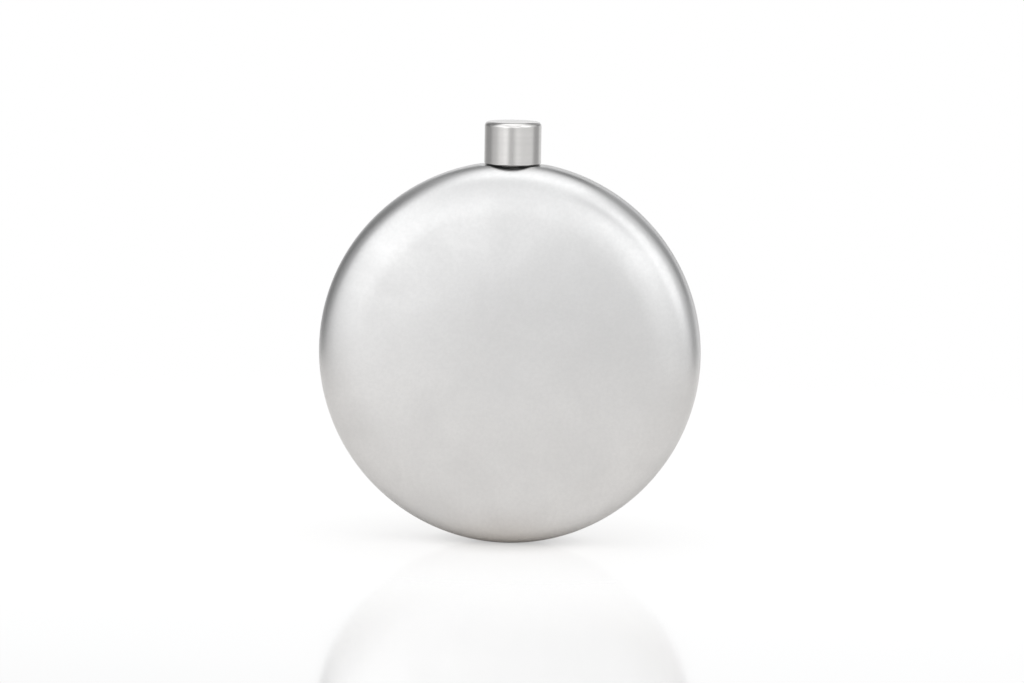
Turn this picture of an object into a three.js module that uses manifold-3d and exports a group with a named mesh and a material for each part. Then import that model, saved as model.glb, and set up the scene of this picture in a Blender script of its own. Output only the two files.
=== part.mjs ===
// Round titanium pocket flask: two pressed dishes welded rim to rim, a turned neck welded on a
// flat at the top of the rim, and a screw cap with a moulded thread insert and a sealing disc.
// Millimetres. +Z runs up through the neck, the front face looks towards -Y, the foot is at Z = 0.
import * as THREE from 'three';
import { mergeVertices } from 'three/addons/utils/BufferGeometryUtils.js';
import Module from 'manifold-3d';

const wasm = await Module();
wasm.setup();

// Body
const bodyDiameter = 98;
const sheet = 0.6; // wall of the pressed dishes
const rimBand = 4.8; // straight band round the rim, across both dishes
const cornerRadius = 7.5; // outside, next to the rim band
const shoulderRadius = 27; // outside, between the corner and the dome of the face
const shoulderLean = THREE.MathUtils.degToRad(23); // of the face, where shoulder and corner meet
const domeRadius = 300; // outside, of the face
const panelDiameter = 12; // flat in the middle of each face
const seamWidth = 0.8; // weld that joins the dishes
const footWidth = 5; // flat pressed under the rim, on which the flask stands
const landMargin = 1.5; // flat pressed into the rim for the neck, past the cap on each side

// Cap
const capDiameter = 14.5;
const capHeight = 10.7;
const capWall = 0.7;
const capRoof = 1;
const capTopChamfer = 0.85;
const capFootChamfer = 0.25;
const insertWall = 1; // at the middle of the thread
const insertRoof = 0.9;
const linerThickness = 1.4;
const linerGrip = 0.25; // ledge of the insert under the liner's edge
const mouthChamfer = 0.5; // lead into the insert's bore

// Neck
const neckWall = 1.3; // at the middle of the thread
const neckShoulder = 0.6; // step that rests on the land
const spigotReach = 0.9; // spigot past the inside of the sheet
const lipChamfer = 0.35;
const neckWeldLeg = 0.55; // fillet between neck and land

// Clearances
const fitGap = 0.05; // spigot in its hole and insert in the cap, on the radius
const threadGap = 0.3; // insert bore round the neck, on the radius
const linerPlay = 0.15; // liner in its groove, on the radius
const footGap = 0.4; // cap and insert over the land

// Fineness of the facets
const bodySegments = 96;
const neckSegments = 48;
const cornerSteps = 6;
const shoulderSteps = 3;
const domeSteps = 3;

// Sizes that follow
const bodyRadius = bodyDiameter / 2;
const capRadius = capDiameter / 2;
const insertRadius = capRadius - capWall - fitGap;
const insertBore = insertRadius - insertWall;
const linerRadius = insertBore + linerGrip;
const neckRadius = insertBore - threadGap;
const boreRadius = neckRadius - neckWall;
const spigotRadius = neckRadius - neckShoulder;
const centreHeight = flatDistance(footWidth);
const landHeight = centreHeight + flatDistance(capDiameter + 2 * landMargin);
const capFoot = landHeight + footGap;
const capTop = capFoot + capHeight;
const capCeiling = capTop - capRoof;
const insertCeiling = capCeiling - insertRoof;
const lipHeight = insertCeiling - linerThickness;
const spigotEnd = landHeight - sheet - spigotReach;
const roomy = 4 * bodyRadius; // larger than anything that is cut

// Distance from the centre of the body to a flat of the given width across its rim
function flatDistance(width) {
  return Math.sqrt(bodyRadius ** 2 - (width / 2) ** 2);
}

// Arc of an outline about a centre; angles run from +y towards +x
function arc(centre, radius, from, to, steps) {
  const points = [];
  for (let i = 0; i <= steps; i += 1) {
    const angle = THREE.MathUtils.lerp(from, to, i / steps);
    const away = new THREE.Vector2(Math.sin(angle), Math.cos(angle));
    points.push(centre.clone().addScaledVector(away, radius));
  }
  return points;
}

// Centre of the next, wider arc of the face, which meets the last one where the face has the given lean
function nextCentre(centre, radius, nextRadius, lean) {
  const away = new THREE.Vector2(Math.sin(lean), Math.cos(lean));
  return centre.clone().addScaledVector(away, radius - nextRadius);
}

// Outline of the body, from the middle of the front face round the rim to the middle of the rear one
function bodyOutline(inset) {
  const panel = panelDiameter / 2;
  const corner = new THREE.Vector2(bodyRadius - cornerRadius, rimBand / 2);
  const shoulder = nextCentre(corner, cornerRadius, shoulderRadius, shoulderLean);
  const domeLean = Math.asin((shoulder.x - panel) / (domeRadius - shoulderRadius));
  const dome = nextCentre(shoulder, shoulderRadius, domeRadius, domeLean);
  const rear = [
    ...arc(corner, cornerRadius - inset, Math.PI / 2, shoulderLean, cornerSteps),
    ...arc(shoulder, shoulderRadius - inset, shoulderLean, domeLean, shoulderSteps).slice(1),
    ...arc(dome, domeRadius - inset, domeLean, 0, domeSteps).slice(1),
    new THREE.Vector2(0, dome.y + domeRadius - inset),
  ];
  const front = rear.map((point) => new THREE.Vector2(point.x, -point.y)).reverse();
  return [...front, ...rear];
}

// Solid turned about Z from [radius, height] pairs
function turned(pairs) {
  const outline = pairs.map(([radius, height]) => new THREE.Vector2(radius, height));
  return new THREE.LatheGeometry(outline, neckSegments).rotateX(Math.PI / 2);
}

// Ring turned about Z, whose outline closes on itself
function turnedRing(pairs) {
  return turned([...pairs, pairs[0]]);
}

// Closed solid for cutting, from a geometry
function toSolid(geometry) {
  const bare = geometry.clone();
  bare.deleteAttribute('normal');
  bare.deleteAttribute('uv');
  const merged = mergeVertices(bare);
  const corners = merged.index.array;
  const kept = [];
  for (let i = 0; i < corners.length; i += 3) {
    const [a, b, c] = corners.slice(i, i + 3);
    if (a !== b && b !== c && c !== a) {
      kept.push(a, b, c);
    }
  }
  const vertProperties = new Float32Array(merged.attributes.position.array);
  const triVerts = new Uint32Array(kept);
  return new wasm.Manifold(new wasm.Mesh({ numProp: 3, vertProperties, triVerts }));
}

// Geometry again, from a closed solid
function toGeometry(solid) {
  const { vertProperties, triVerts } = solid.getMesh();
  const geometry = new THREE.BufferGeometry();
  geometry.setAttribute('position', new THREE.BufferAttribute(vertProperties, 3));
  geometry.setIndex(new THREE.BufferAttribute(triVerts, 1));
  geometry.computeVertexNormals();
  return geometry;
}

// Everything between two heights
function layer(bottom, top) {
  const box = new THREE.BoxGeometry(roomy, roomy, top - bottom);
  return toSolid(box.translate(0, 0, (bottom + top) / 2));
}

// Everything between two depths
function slice(front, rear) {
  const box = new THREE.BoxGeometry(roomy, rear - front, roomy);
  return toSolid(box.translate(0, (front + rear) / 2, 0));
}

// Full body with its two flats, or the room inside it when inset by the sheet
function bodyBlank(inset) {
  const round = new THREE.LatheGeometry(bodyOutline(inset), bodySegments).translate(0, 0, centreHeight);
  return toSolid(round).intersect(layer(inset, landHeight - inset));
}

// Hollow body with the hole for the neck, before it is parted along the seam
function hollowBody() {
  const holeRadius = spigotRadius + fitGap;
  const hole = turned([[0, spigotEnd], [holeRadius, spigotEnd], [holeRadius, capFoot], [0, capFoot]]);
  return bodyBlank(0).subtract(bodyBlank(sheet)).subtract(toSolid(hole));
}

function frontShell(body) {
  return toGeometry(body.intersect(slice(-bodyRadius, -seamWidth / 2)));
}

function rearShell(body) {
  return toGeometry(body.intersect(slice(seamWidth / 2, bodyRadius)));
}

function rimWeld(body) {
  return toGeometry(body.intersect(slice(-seamWidth / 2, seamWidth / 2)));
}

function neck() {
  return turnedRing([
    [boreRadius, spigotEnd],
    [spigotRadius, spigotEnd],
    [spigotRadius, landHeight],
    [neckRadius, landHeight],
    [neckRadius, lipHeight - lipChamfer],
    [neckRadius - lipChamfer, lipHeight],
    [boreRadius + lipChamfer, lipHeight],
    [boreRadius, lipHeight - lipChamfer],
  ]);
}

function neckWeld() {
  return turnedRing([
    [neckRadius, landHeight],
    [neckRadius + neckWeldLeg, landHeight],
    [neckRadius, landHeight + neckWeldLeg],
  ]);
}

function capShell() {
  const inside = capRadius - capWall;
  return turned([
    [0, capCeiling],
    [inside, capCeiling],
    [inside, capFoot],
    [capRadius - capFootChamfer, capFoot],
    [capRadius, capFoot + capFootChamfer],
    [capRadius, capTop - capTopChamfer],
    [capRadius - capTopChamfer, capTop],
    [0, capTop],
  ]);
}

function capInsert() {
  const groove = linerRadius + linerPlay;
  return turned([
    [0, insertCeiling],
    [groove, insertCeiling],
    [groove, lipHeight],
    [insertBore, lipHeight],
    [insertBore, capFoot + mouthChamfer],
    [insertBore + mouthChamfer, capFoot],
    [insertRadius, capFoot],
    [insertRadius, capCeiling],
    [0, capCeiling],
  ]);
}

function capLiner() {
  return turned([[0, lipHeight], [linerRadius, lipHeight], [linerRadius, insertCeiling], [0, insertCeiling]]);
}

const blastedTitanium = { color: '#b7b5b1', roughness: 0.5, metalness: 0.9 };
const weldedTitanium = { color: '#c3c1bd', roughness: 0.4, metalness: 0.9 };
const turnedTitanium = { color: '#c2c1be', roughness: 0.3, metalness: 0.95 };
const blackPolypropylene = { color: '#17171a', roughness: 0.6, metalness: 0 };
const clearSilicone = { color: '#d9d7d1', roughness: 0.65, metalness: 0 };

const body = hollowBody();
const pieces = [
  ['front_shell', frontShell(body), blastedTitanium],
  ['rear_shell', rearShell(body), blastedTitanium],
  ['rim_weld', rimWeld(body), weldedTitanium],
  ['neck', neck(), turnedTitanium],
  ['neck_weld', neckWeld(), weldedTitanium],
  ['cap_shell', capShell(), turnedTitanium],
  ['cap_insert', capInsert(), blackPolypropylene],
  ['cap_liner', capLiner(), clearSilicone],
];

const flask = new THREE.Group();
flask.name = 'round_flask';
for (const [name, geometry, finish] of pieces) {
  const mesh = new THREE.Mesh(geometry, new THREE.MeshStandardMaterial(finish));
  mesh.name = name;
  flask.add(mesh);
}

export default flask;
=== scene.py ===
import math

import bpy
import numpy as np
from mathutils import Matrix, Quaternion, Vector


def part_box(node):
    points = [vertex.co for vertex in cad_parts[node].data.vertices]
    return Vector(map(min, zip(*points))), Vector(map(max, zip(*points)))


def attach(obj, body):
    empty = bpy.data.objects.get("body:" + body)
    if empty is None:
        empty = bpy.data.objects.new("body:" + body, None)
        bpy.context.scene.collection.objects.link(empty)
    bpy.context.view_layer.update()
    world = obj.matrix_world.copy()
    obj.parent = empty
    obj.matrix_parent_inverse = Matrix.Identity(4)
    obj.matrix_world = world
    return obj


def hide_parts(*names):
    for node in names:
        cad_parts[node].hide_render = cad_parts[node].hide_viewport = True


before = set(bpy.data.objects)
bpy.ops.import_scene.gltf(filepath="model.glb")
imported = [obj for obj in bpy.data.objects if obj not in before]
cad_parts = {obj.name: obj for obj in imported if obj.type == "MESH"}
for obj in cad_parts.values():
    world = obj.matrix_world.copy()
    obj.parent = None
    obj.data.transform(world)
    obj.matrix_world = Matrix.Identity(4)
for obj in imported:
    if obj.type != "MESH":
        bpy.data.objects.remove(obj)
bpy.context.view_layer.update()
mm = 0.001  # pieces are worked out in millimetres, frame and scene are in metres
print("frame loaded,", len(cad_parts), "nodes")


# lowest and highest corner of a node's solid, in millimetres
def nodeBox(node):
    return (np.array(corner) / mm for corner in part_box(node))


# Grids and meshes

# four corners of every cell of a grid; columns close on themselves, rows too if wrapRows
def gridQuads(rows, cols, wrapRows):
    r = np.arange(rows if wrapRows else rows - 1)[:, None]
    c = np.arange(cols)[None, :]
    below, above = r * cols, ((r + 1) % rows) * cols
    right = (c + 1) % cols
    return np.stack([below + c, below + right, above + right, above + c], -1).reshape(-1, 4)


# fan from one point to a ring of the grid
def poleFan(pole, first, cols):
    c = np.arange(cols)
    return np.stack([np.full(cols, pole), first + (c + 1) % cols, first + c], -1)


# six times the volume inside the triangles, below zero where they face inwards
def signedVolume(points, tris):
    a, b, c = (points[tris[:, k]] for k in range(3))
    return float(np.einsum("ij,ij->i", a, np.cross(b, c)).sum())


# a value for every point of a grid, with the mean of the end rows added for the poles
def withPoles(values, poles):
    flat = values.reshape(-1, values.shape[-1])
    return np.vstack([flat, values[0].mean(0), values[-1].mean(0)]) if poles else flat


# mesh of a grid of points [row, column, xyz] in millimetres, closed by a pole at each end or row on row,
# with a mask for its rubbed edges and a UV map where they are given
def gridMesh(name, grid, poles, worn=None, uv=None):
    rows, cols = grid.shape[:2]
    points = withPoles(grid, poles)
    quads = gridQuads(rows, cols, not poles)
    fans = np.zeros((0, 3), int)
    if poles:
        near, far = poleFan(rows * cols, 0, cols), poleFan(rows * cols + 1, (rows - 1) * cols, cols)
        fans = np.vstack([near, far[:, ::-1]])
    if signedVolume(points, np.vstack([quads[:, [0, 1, 2]], quads[:, [0, 2, 3]], fans])) < 0:
        quads, fans = quads[:, ::-1], fans[:, ::-1]
    mesh = bpy.data.meshes.new(name)
    mesh.from_pydata((points * mm).tolist(), [], quads.tolist() + fans.tolist())
    mesh.polygons.foreach_set("use_smooth", np.ones(len(mesh.polygons), bool))
    if worn is not None:
        perPoint = withPoles(np.repeat(worn, cols).reshape(rows, cols, 1), poles)
        mask = mesh.attributes.new("worn", "FLOAT", "POINT")
        mask.data.foreach_set("value", perPoint.astype(np.float32).ravel())
    if uv is not None:
        corner = np.zeros(len(mesh.loops), np.int32)
        mesh.loops.foreach_get("vertex_index", corner)
        perCorner = withPoles(uv, poles)[corner]
        layer = mesh.uv_layers.new(name="along")
        layer.data.foreach_set("uv", perCorner.astype(np.float32).ravel())
    mesh.update()
    return mesh


# mesh put in the scene, where it rides a body of the frame in place of a node's solid
def addPiece(mesh, body, node, material):
    piece = bpy.data.objects.new(mesh.name, mesh)
    bpy.context.scene.collection.objects.link(piece)
    mesh.materials.append(material)
    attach(piece, body)
    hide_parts(node)
    print("piece", mesh.name, len(mesh.polygons), "faces")


# Outlines, as [radius, height] in millimetres
guardLimit = 0.45  # share of a side that lies at most between a corner and its guard point
wornRadius = 0.3  # corners up to this rounding are rubbed fully, rounder ones less
leastGap = 0.35  # share of a step that an added point keeps from the others
poleRing = 0.3  # radius of the ring next to the axis on a turned piece without a bore
hair = 0.01  # gap or difference too small to show


# one corner as an arc tangent to its two sides, with a guard point a little way along each side
def softCorner(before, corner, after, radius, steps, guard):
    back, on = before - corner, after - corner
    backRoom, onRoom = np.linalg.norm(back), np.linalg.norm(on)
    back, on = back / backRoom, on / onRoom
    half = math.acos(np.clip(back @ on, -1, 1)) / 2
    reach = radius / math.tan(half)
    middle = (back + on) / np.linalg.norm(back + on) * radius / math.sin(half)
    first, last = back * reach - middle, on * reach - middle
    sweep = math.pi - 2 * half
    t = np.linspace(0, 1, steps + 1)[:, None]
    arc = (np.sin((1 - t) * sweep) * first + np.sin(t * sweep) * last) / math.sin(sweep)
    lead = min(reach + guard, backRoom * guardLimit)
    tail = min(reach + guard, onRoom * guardLimit)
    return np.vstack([corner + back * lead, corner + middle + arc, corner + on * tail])


# outline with every corner (radius, height, rounding) softened; returns the points and a mask that is 1 on
# tight corners, less on rounder ones and 0 between them
def softOutline(corners, closed, steps=6, guard=0.12, step=None):
    p = np.array([c[:2] for c in corners], float)
    count = len(p)
    ends = () if closed else (0, count - 1)
    runs, masks = [], []
    for i, (_, _, rounding) in enumerate(corners):
        if i in ends:
            runs.append(p[i][None])
            masks.append(np.zeros(1))
        else:
            runs.append(softCorner(p[i - 1], p[i], p[(i + 1) % count], rounding, steps, guard))
            masks.append(np.pad(np.full(steps + 1, min(1, wornRadius / rounding)), 1))
    points, worn = np.vstack(runs), np.concatenate(masks)
    return denser(points, worn, step) if step else (points, worn)


# way along a line of points, from the first to each of them
def wayAlong(points):
    return np.concatenate([[0], np.cumsum(np.linalg.norm(np.diff(points, axis=0), axis=1))])


# points of a line at the given ways along it
def pointsAt(ways, along, points):
    return np.stack([np.interp(ways, along, points[:, k]) for k in (0, 1)], -1)


# the same outline with points added so that none are much further apart than step
def denser(points, worn, step):
    along = wayAlong(points)
    extra = np.arange(0, along[-1], step)
    far = np.abs(along[:, None] - extra).min(0) > step * leastGap
    every = np.sort(np.concatenate([along, extra[far]]))
    return pointsAt(every, along, points), np.interp(every, along, worn)


# share of a turn at each column
def turnShares(cols):
    return np.linspace(0, 1, cols, endpoint=False)[None, :]


# surface turned about Z: each outline point goes round a circle of its radius plus swell, at its height
def turnedGrid(outline, cols, swell=0):
    angle = 2 * np.pi * turnShares(cols)
    r = outline[:, :1] + swell + 0 * angle
    return np.stack([r * np.cos(angle), r * np.sin(angle), outline[:, 1:] + 0 * r], -1)


# rises from 0 to 1 between low and high, smooth at both ends
def smoothStep(x, low, high):
    t = np.clip((x - low) / (high - low), 0, 1)
    return t * t * (3 - 2 * t)


# x where it is above soft, zero where it is below minus soft, a parabola between
def softPlus(x, soft):
    return np.where(x > soft, x, np.where(x < -soft, 0, (x + soft) ** 2 / (4 * soft)))


# keeps z between two flats, bending over into each
def softFlats(z, low, high, soft):
    return low + softPlus(high - softPlus(high - z, soft) - low, soft)


# Shader helpers

# node with its settings made and its inputs linked or set
def addNode(tree, kind, inputs=None, **settings):
    node = tree.nodes.new(kind)
    for key, value in settings.items():
        setattr(node, key, value)
    for key, value in (inputs or {}).items():
        if isinstance(value, bpy.types.NodeSocket):
            tree.links.new(value, node.inputs[key])
        else:
            node.inputs[key].default_value = value
    return node


def mathNode(tree, operation, *values):
    return addNode(tree, "ShaderNodeMath", dict(enumerate(values)), operation=operation).outputs[0]


# straight from one range to another, held at both ends
def mapRange(tree, value, fromLow, fromHigh, toLow, toHigh, kind="LINEAR"):
    return addNode(tree, "ShaderNodeMapRange", {0: value, 1: fromLow, 2: fromHigh, 3: toLow, 4: toHigh},
                   interpolation_type=kind).outputs[0]


# the same, smooth at both ends
def easeRange(tree, value, fromLow, fromHigh, toLow, toHigh):
    return mapRange(tree, value, fromLow, fromHigh, toLow, toHigh, "SMOOTHSTEP")


def mixColour(tree, factor, first, second):
    return addNode(tree, "ShaderNodeMix", {0: factor, 6: first, 7: second}, data_type="RGBA").outputs[2]


def mixShader(tree, factor, first, second):
    return addNode(tree, "ShaderNodeMixShader", {0: factor, 1: first, 2: second}).outputs[0]


def noise(tree, inputs, **settings):
    return addNode(tree, "ShaderNodeTexNoise", inputs, **settings).outputs[0]


# grey, with red raised and blue lowered by a share where it is warm
def grey(value, warm=0.0):
    return (value * (1 + warm), value, value * (1 - warm), 1)


# node group that takes a place and named numbers and gives named numbers
def newGroup(name, inputs, outputs):
    group = bpy.data.node_groups.new(name, "ShaderNodeTree")
    group.interface.new_socket(name="Vector", in_out="INPUT", socket_type="NodeSocketVector")
    for label in inputs:
        group.interface.new_socket(name=label, in_out="INPUT", socket_type="NodeSocketFloat")
    for label in outputs:
        group.interface.new_socket(name=label, in_out="OUTPUT", socket_type="NodeSocketFloat")
    return group, group.nodes.new("NodeGroupInput").outputs, group.nodes.new("NodeGroupOutput").inputs


def useGroup(tree, group, inputs):
    return addNode(tree, "ShaderNodeGroup", inputs, node_tree=group).outputs


# Blasted skin: size and depth of the dimples as shares of the pits', and what part of each noise is used
skinGrain = dict(dimpleScale=0.31, dimpleDepth=0.35, cloudRange=(0.3, 0.7), speckleRange=(0.35, 0.65))


# fine pits from noise with wider dimples added, the speckle of the pits, and slow clouds
def makeBlastedSkin(g):
    group, given, out = newGroup("blastedSkin", ["Pit Scale", "Cloud Scale"], ["Pits", "Clouds", "Speckle"])
    place, pitScale, cloudScale = given["Vector"], given["Pit Scale"], given["Cloud Scale"]
    pits = noise(group, {"Vector": place, "Scale": pitScale, "Detail": 3.0, "Roughness": 0.65})
    wide = mathNode(group, "MULTIPLY", pitScale, g["dimpleScale"])
    dimples = addNode(group, "ShaderNodeTexVoronoi", {"Vector": place, "Scale": wide}, feature="SMOOTH_F1")
    shallow = mathNode(group, "MULTIPLY", dimples.outputs["Distance"], g["dimpleDepth"])
    clouds = noise(group, {"Vector": place, "Scale": cloudScale, "Detail": 4.0, "Distortion": 0.6})
    group.links.new(mathNode(group, "ADD", pits, shallow), out["Pits"])
    group.links.new(mapRange(group, clouds, *g["cloudRange"], 0.0, 1.0), out["Clouds"])
    group.links.new(mapRange(group, pits, *g["speckleRange"], 0.0, 1.0), out["Speckle"])
    return group


# Lathe marks: scale of the bands as a share of the lines', and what part of their noise is used
latheMarks = dict(bandScale=0.12, bandRange=(0.3, 0.7))


# noise along radius minus height, so that it rings a flat end and hoops a side, in fine lines and slow bands
def makeTurnedLines(m):
    group, given, out = newGroup("turnedLines", ["Line Scale"], ["Lines", "Bands"])
    parts = addNode(group, "ShaderNodeSeparateXYZ", {0: given["Vector"]}).outputs
    flat = addNode(group, "ShaderNodeCombineXYZ", {0: parts[0], 1: parts[1]}).outputs[0]
    radius = addNode(group, "ShaderNodeVectorMath", {0: flat}, operation="LENGTH").outputs["Value"]
    path = mathNode(group, "SUBTRACT", radius, parts[2])
    slowScale = mathNode(group, "MULTIPLY", given["Line Scale"], m["bandScale"])
    fine = noise(group, {"W": path, "Scale": given["Line Scale"], "Detail": 2.0}, noise_dimensions="1D")
    slow = noise(group, {"W": path, "Scale": slowScale, "Detail": 3.0}, noise_dimensions="1D")
    group.links.new(fine, out["Lines"])
    group.links.new(mapRange(group, slow, *m["bandRange"], 0.0, 1.0), out["Bands"])
    return group


# Rubbed edges: what part of the noise breaks them up, and the least that it leaves
rubbing = dict(breakRange=(0.35, 0.6), least=0.25)


# the stored edge mask broken up by noise
def makeRubbedEdges(r):
    group, given, out = newGroup("rubbedEdges", ["Edge", "Break Scale"], ["Mask"])
    breaks = noise(group, {"Vector": given["Vector"], "Scale": given["Break Scale"], "Detail": 4.0})
    left = mapRange(group, breaks, *r["breakRange"], r["least"], 1.0)
    group.links.new(mathNode(group, "MULTIPLY", left, given["Edge"]), out["Mask"])
    return group


blastedSkin = makeBlastedSkin(skinGrain)
turnedLines = makeTurnedLines(latheMarks)
rubbedEdges = makeRubbedEdges(rubbing)


# Materials; scales are per metre, depths in metres

def newMaterial(name, metallic):
    material = bpy.data.materials.new(name)
    material.use_nodes = True
    tree = material.node_tree
    shader = tree.nodes["Principled BSDF"]
    shader.inputs["Metallic"].default_value = metallic
    return material, tree, shader, addNode(tree, "ShaderNodeTexCoord").outputs["Object"]


def useSkin(tree, place, f):
    return useGroup(tree, blastedSkin, {"Vector": place, "Pit Scale": f["pits"], "Cloud Scale": f["clouds"]})


# colour between the two tones of a finish
def toneBetween(tree, mask, f):
    return mixColour(tree, mask, grey(f["darker"], f["warm"]), grey(f["tone"], f["warm"]))


def addBump(tree, shader, height, f):
    bump = addNode(tree, "ShaderNodeBump", {"Height": height, "Distance": f["depth"], "Strength": f["bump"]})
    tree.links.new(bump.outputs[0], shader.inputs["Normal"])


# what weld, plastic and silicone share: two tones in clouds, and specks that are rougher
def dressWithSkin(tree, shader, place, f):
    skin = useSkin(tree, place, f)
    tree.links.new(toneBetween(tree, skin["Clouds"], f), shader.inputs["Base Color"])
    rougher = mapRange(tree, skin["Speckle"], 0.0, 1.0, f["rough"], f["rough"] + f["roughSpread"])
    tree.links.new(rougher, shader.inputs["Roughness"])
    return skin


# Metal of the pressed body
bodyFinish = dict(tone=0.738, darker=0.675, warm=0.002, rough=0.29, roughSpread=0.04, pits=1050.0,
                  clouds=62.0, speckle=0.22, speckleTone=0.8, depth=0.00002, bump=0.5)


# clouds are lighter and smoother, specks darker and rougher
def makeBodyMetal(f):
    material, tree, shader, place = newMaterial("blastedTitanium", 1.0)
    skin = useSkin(tree, place, f)
    tone = toneBetween(tree, skin["Clouds"], f)
    speckle = mapRange(tree, skin["Speckle"], 0.0, 1.0, 0.0, f["speckle"])
    speckled = mixColour(tree, speckle, tone, grey(f["tone"] * f["speckleTone"]))
    tree.links.new(speckled, shader.inputs["Base Color"])
    cloudy = mapRange(tree, skin["Clouds"], 0.0, 1.0, f["rough"] + f["roughSpread"], f["rough"])
    pitted = mapRange(tree, skin["Speckle"], 0.0, 1.0, 0.0, f["roughSpread"])
    tree.links.new(mathNode(tree, "ADD", cloudy, pitted), shader.inputs["Roughness"])
    addBump(tree, shader, skin["Pits"], f)
    return material


# Metal of the turned cap and neck
turnedFinish = dict(tone=0.732, darker=0.702, warm=0.018, rough=0.19, roughSpread=0.03, lines=7000.0,
                    rubbed=0.5, rubbedTone=0.82, rubbedRough=-0.05, breaks=700.0, depth=0.000003, bump=0.6)


# bands are lighter and smoother, and so are rubbed edges
def makeTurnedMetal(f):
    material, tree, shader, place = newMaterial("turnedTitanium", 1.0)
    lines = useGroup(tree, turnedLines, {"Vector": place, "Line Scale": f["lines"]})
    edge = addNode(tree, "ShaderNodeAttribute", attribute_name="worn").outputs["Fac"]
    rubbed = useGroup(tree, rubbedEdges, {"Vector": place, "Edge": edge, "Break Scale": f["breaks"]})["Mask"]
    tone = toneBetween(tree, lines["Bands"], f)
    bright = mathNode(tree, "MULTIPLY", rubbed, f["rubbed"])
    tree.links.new(mixColour(tree, bright, tone, grey(f["rubbedTone"])), shader.inputs["Base Color"])
    banded = mapRange(tree, lines["Bands"], 0.0, 1.0, f["rough"] + f["roughSpread"], f["rough"])
    smoother = mathNode(tree, "MULTIPLY", rubbed, f["rubbedRough"])
    tree.links.new(mathNode(tree, "ADD", banded, smoother), shader.inputs["Roughness"])
    addBump(tree, shader, lines["Lines"], f)
    return material


# Metal of the dressed welds, with the ripple of the bead along its UV map in millimetres
weldFinish = dict(tone=0.74, darker=0.66, warm=0.02, rough=0.30, roughSpread=0.1, pits=1100.0, clouds=120.0,
                  ripple=1.1, rippleShare=0.7, pitShare=0.3, depth=0.00002, bump=0.5)
waveLength = math.pi / 10  # of the wave texture at scale 1


def makeWeldMetal(f):
    material, tree, shader, place = newMaterial("weldTitanium", 1.0)
    skin = dressWithSkin(tree, shader, place, f)
    along = addNode(tree, "ShaderNodeUVMap", uv_map="along").outputs[0]
    wave = {"Vector": along, "Scale": waveLength / f["ripple"], "Distortion": 1.2, "Detail": 1.0}
    ripple = addNode(tree, "ShaderNodeTexWave", wave).outputs["Fac"]
    ripples = mathNode(tree, "MULTIPLY", ripple, f["rippleShare"])
    pits = mathNode(tree, "MULTIPLY", skin["Pits"], f["pitShare"])
    addBump(tree, shader, mathNode(tree, "ADD", ripples, pits), f)
    return material


# Black moulded plastic of the thread insert
plasticFinish = dict(tone=0.022, darker=0.012, warm=0.0, rough=0.42, roughSpread=0.14, pits=2600.0,
                     clouds=160.0, depth=0.000012, bump=0.4)


def makeBlackPlastic(f):
    material, tree, shader, place = newMaterial("blackPlastic", 0.0)
    skin = dressWithSkin(tree, shader, place, f)
    addBump(tree, shader, skin["Pits"], f)
    return material


# Milky silicone of the sealing disc
siliconeFinish = dict(tone=0.72, darker=0.62, warm=0.02, rough=0.45, roughSpread=0.15, pits=1900.0,
                      clouds=210.0, milk=0.25, milkReach=(0.001, 0.0008, 0.0006), depth=0.00001, bump=0.4)


def makeSilicone(f):
    material, tree, shader, place = newMaterial("milkySilicone", 0.0)
    skin = dressWithSkin(tree, shader, place, f)
    shader.inputs["Subsurface Weight"].default_value = f["milk"]
    shader.inputs["Subsurface Radius"].default_value = f["milkReach"]
    addBump(tree, shader, skin["Pits"], f)
    return material


bodyMetal = makeBodyMetal(bodyFinish)
turnedMetal = makeTurnedMetal(turnedFinish)
weldMetal = makeWeldMetal(weldFinish)
blackPlastic = makeBlackPlastic(plasticFinish)
silicone = makeSilicone(siliconeFinish)
print("materials made")


# Pressed body, in millimetres
body = dict(
    sheet=0.6,
    corner=7.5, shoulder=27.0, dome=300.0,  # outside radii of the three arcs
    lean=23.0,  # of the face where shoulder and corner meet, in degrees
    band=2.4, panel=6.0, foot=2.5, seam=0.4,  # half the rim's band, the face's flat, the foot and the weld
    hole=4.65,  # radius of the hole for the neck
    soft=0.05,  # bend into the flats of foot and land
    blend=5.0,  # way over which one arc eases into the next
    fine=0.05, arcCount=400,  # step and points of an arc while the outline is worked out
    pole=0.4, rows=(26, 22, 32, 8),  # first ring of the mesh, rows on dome, shoulder, corner and band
    around=((-14, 14, 96), (14, 172, 150), (172, 188, 32), (188, 346, 150)),  # degrees from the top, columns
    settle=3,  # rounds in which the ends by the neck's hole settle
)
_, shellHigh = nodeBox("rear_shell")
body["radius"], body["land"] = shellHigh[0], shellHigh[2]
body["centre"] = math.sqrt(body["radius"] ** 2 - body["foot"] ** 2)


# way straight out of the face, as [radius, depth], where it leans by an angle
def outward(lean):
    return np.array([math.sin(lean), math.cos(lean)])


# points of an arc about a centre, from one lean of the face to another
def arcPoints(centre, radius, start, end, count):
    t = np.linspace(start, end, count)[:, None]
    return centre + radius * np.hstack([np.sin(t), np.cos(t)])


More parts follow.
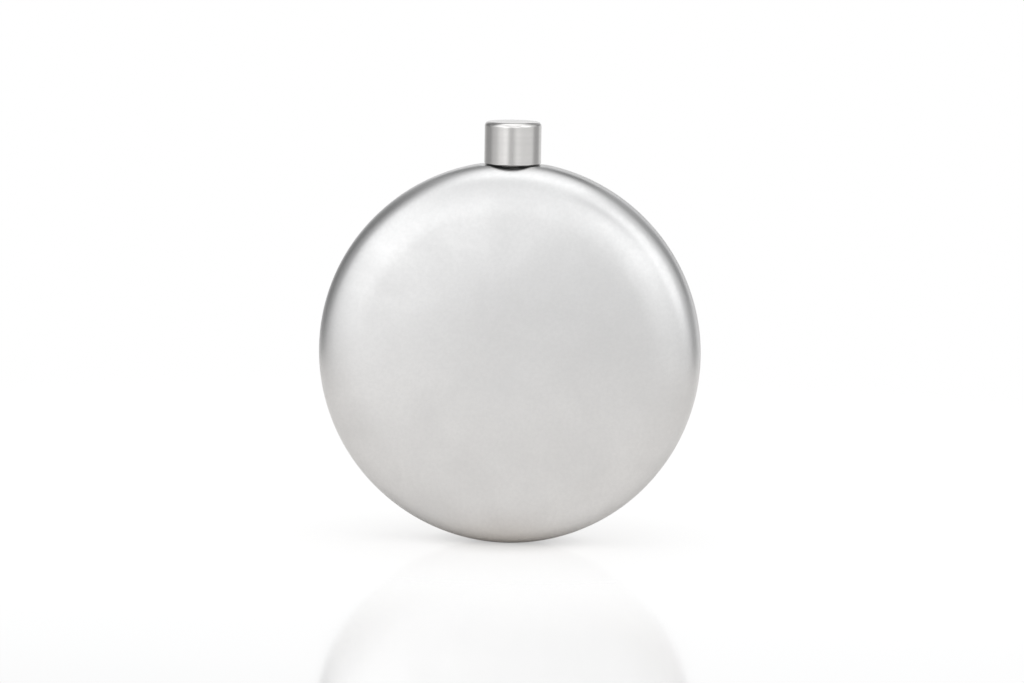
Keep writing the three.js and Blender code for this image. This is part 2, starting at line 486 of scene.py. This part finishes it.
# outline of half the body at an inset, from the axis to the middle of the rim, as [radius, depth]: a flat,
# three arcs that grow tighter, each tangent to the last, and a straight band
def plainOutline(b, inset):
    lean, count = math.radians(b["lean"]), b["arcCount"]
    corner = np.array([b["radius"] - b["corner"], b["band"]])
    shoulder = corner - (b["shoulder"] - b["corner"]) * outward(lean)
    domeLean = math.asin((shoulder[0] - b["panel"]) / (b["dome"] - b["shoulder"]))
    dome = shoulder - (b["dome"] - b["shoulder"]) * outward(domeLean)
    return np.vstack([
        [0, dome[1] + b["dome"] - inset],
        arcPoints(dome, b["dome"] - inset, 0, domeLean, count),
        arcPoints(shoulder, b["shoulder"] - inset, domeLean, lean, count)[1:],
        arcPoints(corner, b["corner"] - inset, lean, math.pi / 2, count)[1:],
        [b["radius"] - inset, 0]])


# the plain outline carried on past both ends as its mirror image and averaged along its length, so that each
# bend eases into the next, then set out in rows as far as the seam; returns them and their ways along it
def halfOutline(b, inset):
    points, count = plainOutline(b, inset), b["arcCount"]
    along = wayAlong(points)
    even = np.arange(0, along[-1], b["fine"])
    half = pointsAt(even, along, points)
    whole = np.vstack([half[:0:-1] * [-1, 1], half, half[::-1] * [1, -1]])
    weight = np.hanning(int(b["blend"] / b["fine"]) | 1)  # an odd number of weights has a middle
    eased = np.stack([np.convolve(whole[:, k], weight / weight.sum(), "same") for k in (0, 1)], -1)
    eased = eased[len(half) - 1:2 * len(half) - 1]
    eased[:, 0] *= (b["radius"] - inset) / eased[-1, 0]
    arcEnds = along[[count, 2 * count - 1, 3 * count - 2]]
    ends = [b["pole"], *arcEnds, along[-1] - b["seam"]]
    runs = [np.linspace(start, end, n, endpoint=False) for start, end, n in zip(ends, ends[1:], b["rows"])]
    rows = np.concatenate([*runs, ends[-1:]])
    return pointsAt(rows, even, eased), rows


# angles round the rim from the top, closer together by the neck and the foot
def rimAngles(b):
    runs = [np.linspace(start, end, n, endpoint=False) for start, end, n in b["around"]]
    return np.radians(np.concatenate(runs))


# one skin of a half body: the outline goes round an axis along Y, and near the top its last part
# is shortened to end on the circle of the neck's hole
def halfSkin(b, inset, angles):
    outline, way = halfOutline(b, inset)
    cut = way[sum(b["rows"][:2])]  # where the corner begins
    x = (b["radius"] - inset) * np.sin(angles)
    for _ in range(b["settle"]):
        hole = np.sqrt(np.maximum(b["hole"] ** 2 - x ** 2, 0)) * (np.cos(angles) > 0)
        end = np.interp(-np.maximum(hole, b["seam"]), -outline[:, 1], way)
        x = np.interp(end, way, outline[:, 0]) * np.sin(angles)
    share = np.maximum(way - cut, 0)[:, None] / (way[-1] - cut)
    s = np.minimum(way, cut)[:, None] + share * (end - cut)[None, :]
    r, y = np.moveaxis(pointsAt(s, way, outline), -1, 0)
    z = softFlats(b["centre"] + r * np.cos(angles), inset, b["land"] - inset, b["soft"])
    return np.stack([r * np.sin(angles), y, z], -1)


# outer skin and inner skin, joined at the seam; facing is -1 for the front and 1 for the rear
def makeShell(name, b, facing):
    angles = rimAngles(b)
    grid = np.concatenate([halfSkin(b, 0, angles), halfSkin(b, b["sheet"], angles)[::-1]])
    return gridMesh(name, grid * np.array([facing, facing, 1]), poles=True)


addPiece(makeShell("frontShell", body, -1), "flask", "front_shell", bodyMetal)
addPiece(makeShell("rearShell", body, 1), "flask", "rear_shell", bodyMetal)


# Weld round the rim, in millimetres: a low bead a little proud of the sheet on both sides
rimWeld = dict(proud=0.03, rootProud=0.06, across=9, stations=720)


# the bead's section, two parabolas back to back, carried round the rim from one side of the neck's hole
# to the other
def makeRimWeld(w, b):
    start = math.asin(math.sqrt(b["hole"] ** 2 - b["seam"] ** 2) / b["radius"])
    angle = np.linspace(start, 2 * np.pi - start, w["stations"])[:, None]
    y = np.linspace(-b["seam"], b["seam"], w["across"])
    bulge = 1 - (y / b["seam"]) ** 2
    inset = np.concatenate([0 * y, 0 * y + b["sheet"]])
    r = b["radius"] - inset + np.concatenate([w["proud"] * bulge, -w["rootProud"] * bulge])
    z = softFlats(b["centre"] + r * np.cos(angle), inset, b["land"] - inset, b["soft"])
    depth = np.concatenate([y, y[::-1]]) + 0 * z
    uv = np.stack([b["radius"] * angle + 0 * z, depth], -1)
    return gridMesh("rimWeld", np.stack([r * np.sin(angle), depth, z], -1), poles=True, uv=uv)


addPiece(makeRimWeld(rimWeld, body), "flask", "rim_weld", weldMetal)


# Screw thread shared by neck and cap, in millimetres; a flank rises over the given part of a cosine
thread = dict(pitch=2.5, height=0.8, play=0.3, flank=(-0.35, 0.8))


# ridge of a right-hand thread, 0 in the root and 1 on the crest: the phase is height over pitch less a
# turn's share
def threadRidge(z, cols, t):
    return smoothStep(np.cos(2 * np.pi * (z / t["pitch"] - turnShares(cols))), *t["flank"])


# 1 between two heights, run out to 0 over a length at each
def runOut(z, low, high, length):
    return smoothStep(z, low, low + length) * (1 - smoothStep(z, high - length, high))


# Neck, in millimetres
neckLow, neckHigh = nodeBox("neck")
neck = dict(
    bore=3.9, spigot=4.6, root=4.8, seat=5.2,  # radii
    seatTop=0.9, seatSlope=0.3,  # height of the seat over the land, and of the slope from it to the root
    threadOver=0.5, threadUnder=0.8, runOut=0.9,  # thread's ends over the seat and under the lip
    edges=dict(spigot=0.12, land=0.03, seat=0.1, slope=0.12, lip=0.3, bore=0.25),  # rounding of each edge
    cols=120, step=0.13,
)


# a tube with a spigot through the sheet, a seat on the land and a thread up to the lip
def makeNeck(n, t, b):
    low, lip, land, e = neckLow[2], neckHigh[2], b["land"], n["edges"]
    seatTop = land + n["seatTop"]
    outline, worn = softOutline([
        (n["bore"], low, e["spigot"]), (n["spigot"], low, e["spigot"]),
        (n["spigot"], land, e["land"]), (n["seat"], land, e["land"]),
        (n["seat"], seatTop, e["seat"]), (n["root"], seatTop + n["seatSlope"], e["slope"]),
        (n["root"], lip, e["lip"]), (n["bore"], lip, e["bore"])], closed=True, step=n["step"])
    z = outline[:, 1:]
    outside = outline[:, :1] > n["spigot"]
    window = runOut(z, seatTop + n["threadOver"], lip - n["threadUnder"], n["runOut"]) * outside
    swell = window * t["height"] * threadRidge(z, n["cols"], t)
    return gridMesh("neckTube", turnedGrid(outline, n["cols"], swell), poles=False, worn=worn)


addPiece(makeNeck(neck, thread, body), "flask", "neck", turnedMetal)


# Fillet weld round the neck, in millimetres
neckWeld = dict(
    leg=0.55, crown=0.33,  # the middle of the slope lies this far out and up
    ripples=34, ripple=0.025, freeFrom=0.3, freeTo=0.6,  # ripples fade towards the root
    edges=dict(root=0.02, toe=0.06, crown=0.2), guard=0.03, cols=340,  # rounding of each edge, guard points
)


# a rounded triangle carried round the neck, its slope rising and falling with each ripple
def makeNeckWeld(w, n, b):
    low, seat, e = b["land"], n["seat"], w["edges"]
    outline, _ = softOutline([
        (seat, low, e["root"]), (seat + w["leg"], low, e["toe"]),
        (seat + w["crown"], low + w["crown"], e["crown"]), (seat, low + w["leg"], e["toe"])],
        closed=True, guard=w["guard"])
    turn = turnShares(w["cols"])
    free = smoothStep(outline[:, :1] - seat + outline[:, 1:] - low, w["freeFrom"], w["freeTo"])
    swell = w["ripple"] * free * (np.abs(np.sin(np.pi * w["ripples"] * turn)) - 1)
    uv = np.stack([2 * np.pi * seat * turn + 0 * swell, outline[:, 1:] + 0 * swell], -1)
    return gridMesh("neckWeldBead", turnedGrid(outline, w["cols"], swell), poles=False, uv=uv)


addPiece(makeNeckWeld(neckWeld, neck, body), "flask", "neck_weld", weldMetal)


# Cap shell, in millimetres
capLow, capHigh = nodeBox("cap_shell")
cap = dict(wall=0.7, roof=1.0, footChamfer=0.14, edges=dict(top=1.1, foot=0.04, inside=0.08, ceiling=0.05),
           arcSteps=12, cols=192, step=0.6)


# a cup turned over, with a round top edge and a small chamfer at the foot
def makeCapShell(c):
    r, low, high, e = capHigh[0], capLow[2], capHigh[2], c["edges"]
    inside, ceiling = r - c["wall"], high - c["roof"]
    outline, worn = softOutline([
        (poleRing, high, 0), (r, high, e["top"]), (r, low + c["footChamfer"], e["foot"]),
        (r - c["footChamfer"], low, e["foot"]), (inside, low, e["inside"]), (inside, ceiling, e["ceiling"]),
        (poleRing, ceiling, 0)], closed=False, steps=c["arcSteps"], step=c["step"])
    return gridMesh("capShell", turnedGrid(outline, c["cols"]), poles=True, worn=worn)


addPiece(makeCapShell(cap), "cap", "cap_shell", turnedMetal)


# Thread insert inside the cap, in millimetres
insertLow, insertHigh = nodeBox("cap_insert")
linerLow, linerHigh = nodeBox("cap_liner")
insert = dict(
    groove=neck["root"] + thread["height"] + thread["play"],  # bore between the ridges of the thread
    ledge=5.5, ledgeDepth=0.6, ledgeSlope=0.3,  # ring under the sealing disc, with a slope below it
    flange=7.05, hang=0.12, mouth=0.22,  # thin rim under the cap's edge, and the lead into the bore
    threadOver=0.77, threadUnder=0.35, runOut=0.8,  # thread's ends over the foot and under the ledge
    edges=dict(top=0.1, flangeTop=0.02, flange=0.03, mouth=0.1,
               slope=0.12, ledge=0.08, seat=0.03, ceiling=0.08),  # rounding of each edge
    cols=120, step=0.13,
)


# a cup turned over, whose thread is the neck's ridge set outwards by the play, so that the two keep apart
# all along the screw
def makeCapInsert(c, t):
    r, low, high, e = insertHigh[0], insertLow[2], insertHigh[2], c["edges"]
    ceiling, ledgeTop = linerHigh[2], linerLow[2]
    flangeTop, flangeLow, ledgeLow = low - hair, low - c["hang"], ledgeTop - c["ledgeDepth"]
    outline, _ = softOutline([
        (poleRing, high, 0), (r, high, e["top"]),
        (r, flangeTop, e["flangeTop"]), (c["flange"], flangeTop, e["flangeTop"]),
        (c["flange"], flangeLow, e["flange"]), (c["groove"] + c["mouth"], flangeLow, e["flange"]),
        (c["groove"], low + c["mouth"], e["mouth"]), (c["groove"], ledgeLow - c["ledgeSlope"], e["slope"]),
        (c["ledge"], ledgeLow, e["ledge"]), (c["ledge"], ledgeTop, e["seat"]),
        (c["groove"], ledgeTop, e["seat"]), (c["groove"], ceiling, e["ceiling"]),
        (poleRing, ceiling, 0)], closed=False, step=c["step"])
    z = outline[:, 1:]
    inBore = outline[:, :1] < c["groove"] + hair
    window = runOut(z, low + c["threadOver"], ledgeLow - c["threadUnder"], c["runOut"]) * inBore
    swell = window * t["height"] * (threadRidge(z, c["cols"], t) - 1)
    return gridMesh("capInsert", turnedGrid(outline, c["cols"], swell), poles=True)


addPiece(makeCapInsert(insert, thread), "cap", "cap_insert", blackPlastic)


# Sealing disc, in millimetres, with the print of the neck's lip
liner = dict(edge=0.18, printRadius=4.4, printDepth=0.06, printWidth=0.7, cols=120, step=0.15)


# a disc whose underside carries the ring that the lip has pressed into it, a bell with a flat top
def makeCapLiner(c):
    r, low, high = linerHigh[0], linerLow[2], linerHigh[2]
    outline, _ = softOutline([
        (poleRing, high, 0), (r, high, c["edge"]), (r, low, c["edge"]), (poleRing, low, 0)],
        closed=False, step=c["step"])
    under = outline[:, 1] < low + hair
    ring = np.exp(-((outline[:, 0] - c["printRadius"]) / c["printWidth"]) ** 4)
    outline[:, 1] += c["printDepth"] * under * ring
    return gridMesh("capLiner", turnedGrid(outline, c["cols"]), poles=True)


addPiece(makeCapLiner(liner), "liner", "cap_liner", silicone)


# Studio: white world for the camera, soft patches of light and dark for the metal to mirror, a pale floor

# direction from a bearing right of the front and a height, in degrees
def bearing(right, up):
    a, e = math.radians(right), math.radians(up)
    return (math.sin(a) * math.cos(e), -math.cos(a) * math.cos(e), math.sin(e))


# each patch is round and soft on the sky: bearing, height, inner and outer size in degrees, and its strength,
# which is added to the fill; the sky's tint goes from low to high between two heights
studio = dict(fill=0.80, lowWarm=-0.002, highWarm=-0.005, warmFrom=-0.25, warmTo=0.3, patches=dict(
    frontAbove=(-5, 43, 25, 70, 0.40),
    overhead=(0, 90, 22, 30, 0.40),
    behind=(190, 35, 20, 45, 0.15),
    leftPanel=(-52, 20, 10, 28, 0.40),
    farLeftPanel=(-86, 18, 16, 24, 0.30),
    rightPanel=(67, 28, 20, 24, 0.60),
    frontPanel=(-22, 7, 2, 19, 0.50),
    lowFrontPanel=(-17, -6, 3, 11, 0.12),
    frontRightPanel=(24, 22, 8, 12, 0.65),
    gapAboveFrontRight=(25, 35, 7, 11, -0.70),
    gapAboveFront=(-20, 42, 6, 18, -0.20),
    darkLeft=(-115, 26, 12, 52, -0.60),
    darkBesideLeftPanel=(-75, 10, 14, 36, -0.20),
    darkRight=(118, -3, 4, 29, -0.38),
    darkBackRight=(148, 30, 20, 30, -0.45),
    darkLowFront=(10, -21, 8, 22, -0.45),
    darkLowFrontWide=(-10, -30, 16, 36, -0.65),
    darkHighBehind=(187, 44, 8, 26, -0.50),
))


# the sky is the fill plus every patch, which rises from its outer to its inner size; the camera sees white
def makeWorld(s):
    world = bpy.data.worlds.new("studio")
    bpy.context.scene.world = world
    world.use_nodes = True
    tree = world.node_tree
    tree.nodes.clear()
    direction = addNode(tree, "ShaderNodeTexCoord").outputs["Generated"]
    total = s["fill"]
    for right, up, inner, outer, strength in s["patches"].values():
        towards = {0: direction, 1: bearing(right, up)}
        facing = addNode(tree, "ShaderNodeVectorMath", towards, operation="DOT_PRODUCT").outputs["Value"]
        edge, core = math.cos(math.radians(outer)), math.cos(math.radians(inner))
        total = mathNode(tree, "ADD", easeRange(tree, facing, edge, core, 0.0, strength), total)
    height = addNode(tree, "ShaderNodeSeparateXYZ", {0: direction}).outputs[2]
    high = mapRange(tree, height, s["warmFrom"], s["warmTo"], 0.0, 1.0)
    tint = mixColour(tree, high, grey(1.0, s["lowWarm"]), grey(1.0, s["highWarm"]))
    sky = addNode(tree, "ShaderNodeBackground", {"Color": tint, "Strength": total}).outputs[0]
    white = addNode(tree, "ShaderNodeBackground", {"Color": grey(1.0), "Strength": 1.0}).outputs[0]
    seen = addNode(tree, "ShaderNodeLightPath").outputs["Is Camera Ray"]
    addNode(tree, "ShaderNodeOutputWorld", {"Surface": mixShader(tree, seen, sky, white)})


makeWorld(studio)

# Floor, in metres from the foot
floor = dict(
    radius=0.35, corners=128,
    tone=0.91, warm=0.025, grain=0.02, grainScale=90.0,
    # painted shade: a darker, warmer floor colour right by the foot
    paintedShadeTone=0.75, paintedShadeWarm=0.065, paintedShadeReach=0.028,  # colour right by the foot
    # the glow is dimmed by the foot as painted shadow, and fades towards the front as painted falloff of
    # light
    glow=1.025, glowFar=0.96, farFrom=0.14, farTo=0.25, paintedShadowGlow=0.68, paintedShadowReach=0.024,
    shareFoot=0.67, shareReach=0.08,  # share of the glow over the lit floor
    glossFoot=0.065, glossFar=0.36, glossFrom=0.055, glossTo=0.16, glossRough=0.09,
    whiteFrom=0.26, whiteTo=0.34,
)


# the metal sees the floor lit, with painted shade (a darker, warmer colour) right by the foot; the camera
# sees it part lit and part glowing, the glow dimmed by the foot as painted shadow and fading towards the
# front as painted falloff of light, so that its shadow, partly cast and partly painted, is deep by the foot
# and pale further off, with a mirror that grows towards the front, and white at its edge
def makeFloorMaterial(f):
    material = bpy.data.materials.new("paleFloor")
    material.use_nodes = True
    tree = material.node_tree
    tree.nodes.clear()
    place = addNode(tree, "ShaderNodeTexCoord").outputs["Object"]
    away = addNode(tree, "ShaderNodeVectorMath", {0: place}, operation="LENGTH").outputs["Value"]
    ahead = mathNode(tree, "MULTIPLY", addNode(tree, "ShaderNodeSeparateXYZ", {0: place}).outputs[1], -1.0)
    grain = noise(tree, {"Vector": place, "Scale": f["grainScale"], "Detail": 3.0})
    wide = mixColour(tree, grain, grey(f["tone"], f["warm"]), grey(f["tone"] + f["grain"], f["warm"]))
    # painted shade: the floor's colour turns darker and warmer right by the foot, both where the camera sees
    # it and where the metal mirrors it
    under = easeRange(tree, away, 0.0, f["paintedShadeReach"], 0.0, 1.0)
    colour = mixColour(tree, under, grey(f["paintedShadeTone"], f["paintedShadeWarm"]), wide)
    lit = addNode(tree, "ShaderNodeBsdfDiffuse", {"Color": colour}).outputs[0]
    # painted shadow: the glow is dimmed right by the foot
    dim = easeRange(tree, away, 0.0, f["paintedShadowReach"], f["paintedShadowGlow"], 1.0)
    # painted falloff of light: the glow fades towards the front
    far = easeRange(tree, ahead, f["farFrom"], f["farTo"], f["glow"], f["glowFar"])
    strength = mathNode(tree, "MULTIPLY", dim, far)
    glow = addNode(tree, "ShaderNodeEmission", {"Color": grey(1.0), "Strength": strength}).outputs[0]
    share = easeRange(tree, away, 0.0, f["shareReach"], f["shareFoot"], 1.0)
    mirror = {"Color": grey(1.0), "Roughness": f["glossRough"]}
    shine = addNode(tree, "ShaderNodeBsdfGlossy", mirror).outputs[0]
    gloss = easeRange(tree, ahead, f["glossFrom"], f["glossTo"], f["glossFoot"], f["glossFar"])
    glossy = mixShader(tree, gloss, mixShader(tree, share, lit, glow), shine)
    white = addNode(tree, "ShaderNodeEmission", {"Color": grey(1.0), "Strength": 1.0}).outputs[0]
    fade = easeRange(tree, away, f["whiteFrom"], f["whiteTo"], 0.0, 1.0)
    seen = addNode(tree, "ShaderNodeLightPath").outputs["Is Camera Ray"]
    whole = mixShader(tree, seen, lit, mixShader(tree, fade, glossy, white))
    addNode(tree, "ShaderNodeOutputMaterial", {"Surface": whole})
    return material


def makeFloor(f):
    bpy.ops.mesh.primitive_circle_add(radius=f["radius"], vertices=f["corners"], fill_type="NGON")
    plane = bpy.context.object
    plane.name = "studioFloor"
    plane.data.materials.append(makeFloorMaterial(f))


makeFloor(floor)

# Camera: bearing, height and roll in degrees, distance in metres, lens and sensor in millimetres, and how far
# the body's centre lies right of and above the middle of the picture, in pixels of its width
camera = dict(right=6.45, up=6.9, roll=0.95, distance=1.2, lens=164.5, sensor=36.0,
              offX=-2.55, offY=-10.8, pixels=1024)


def makeCamera(c, b):
    data = bpy.data.cameras.new("camera")
    data.lens, data.sensor_width = c["lens"], c["sensor"]
    view = bpy.data.objects.new("camera", data)
    bpy.context.scene.collection.objects.link(view)
    back = Vector(bearing(c["right"], c["up"]))
    turn = back.to_track_quat("Z", "Y") @ Quaternion((0, 0, 1), math.radians(c["roll"]))
    perPixel = c["distance"] * c["sensor"] / c["lens"] / c["pixels"]
    aim = Vector((0, 0, b["centre"] * mm)) + turn @ Vector((-c["offX"] * perPixel, -c["offY"] * perPixel, 0))
    view.location = aim + back * c["distance"]
    view.rotation_mode = "QUATERNION"
    view.rotation_quaternion = turn
    bpy.context.scene.camera = view


makeCamera(camera, body)
bpy.context.scene.view_settings.view_transform = "Standard"
print("studio, floor and camera made")
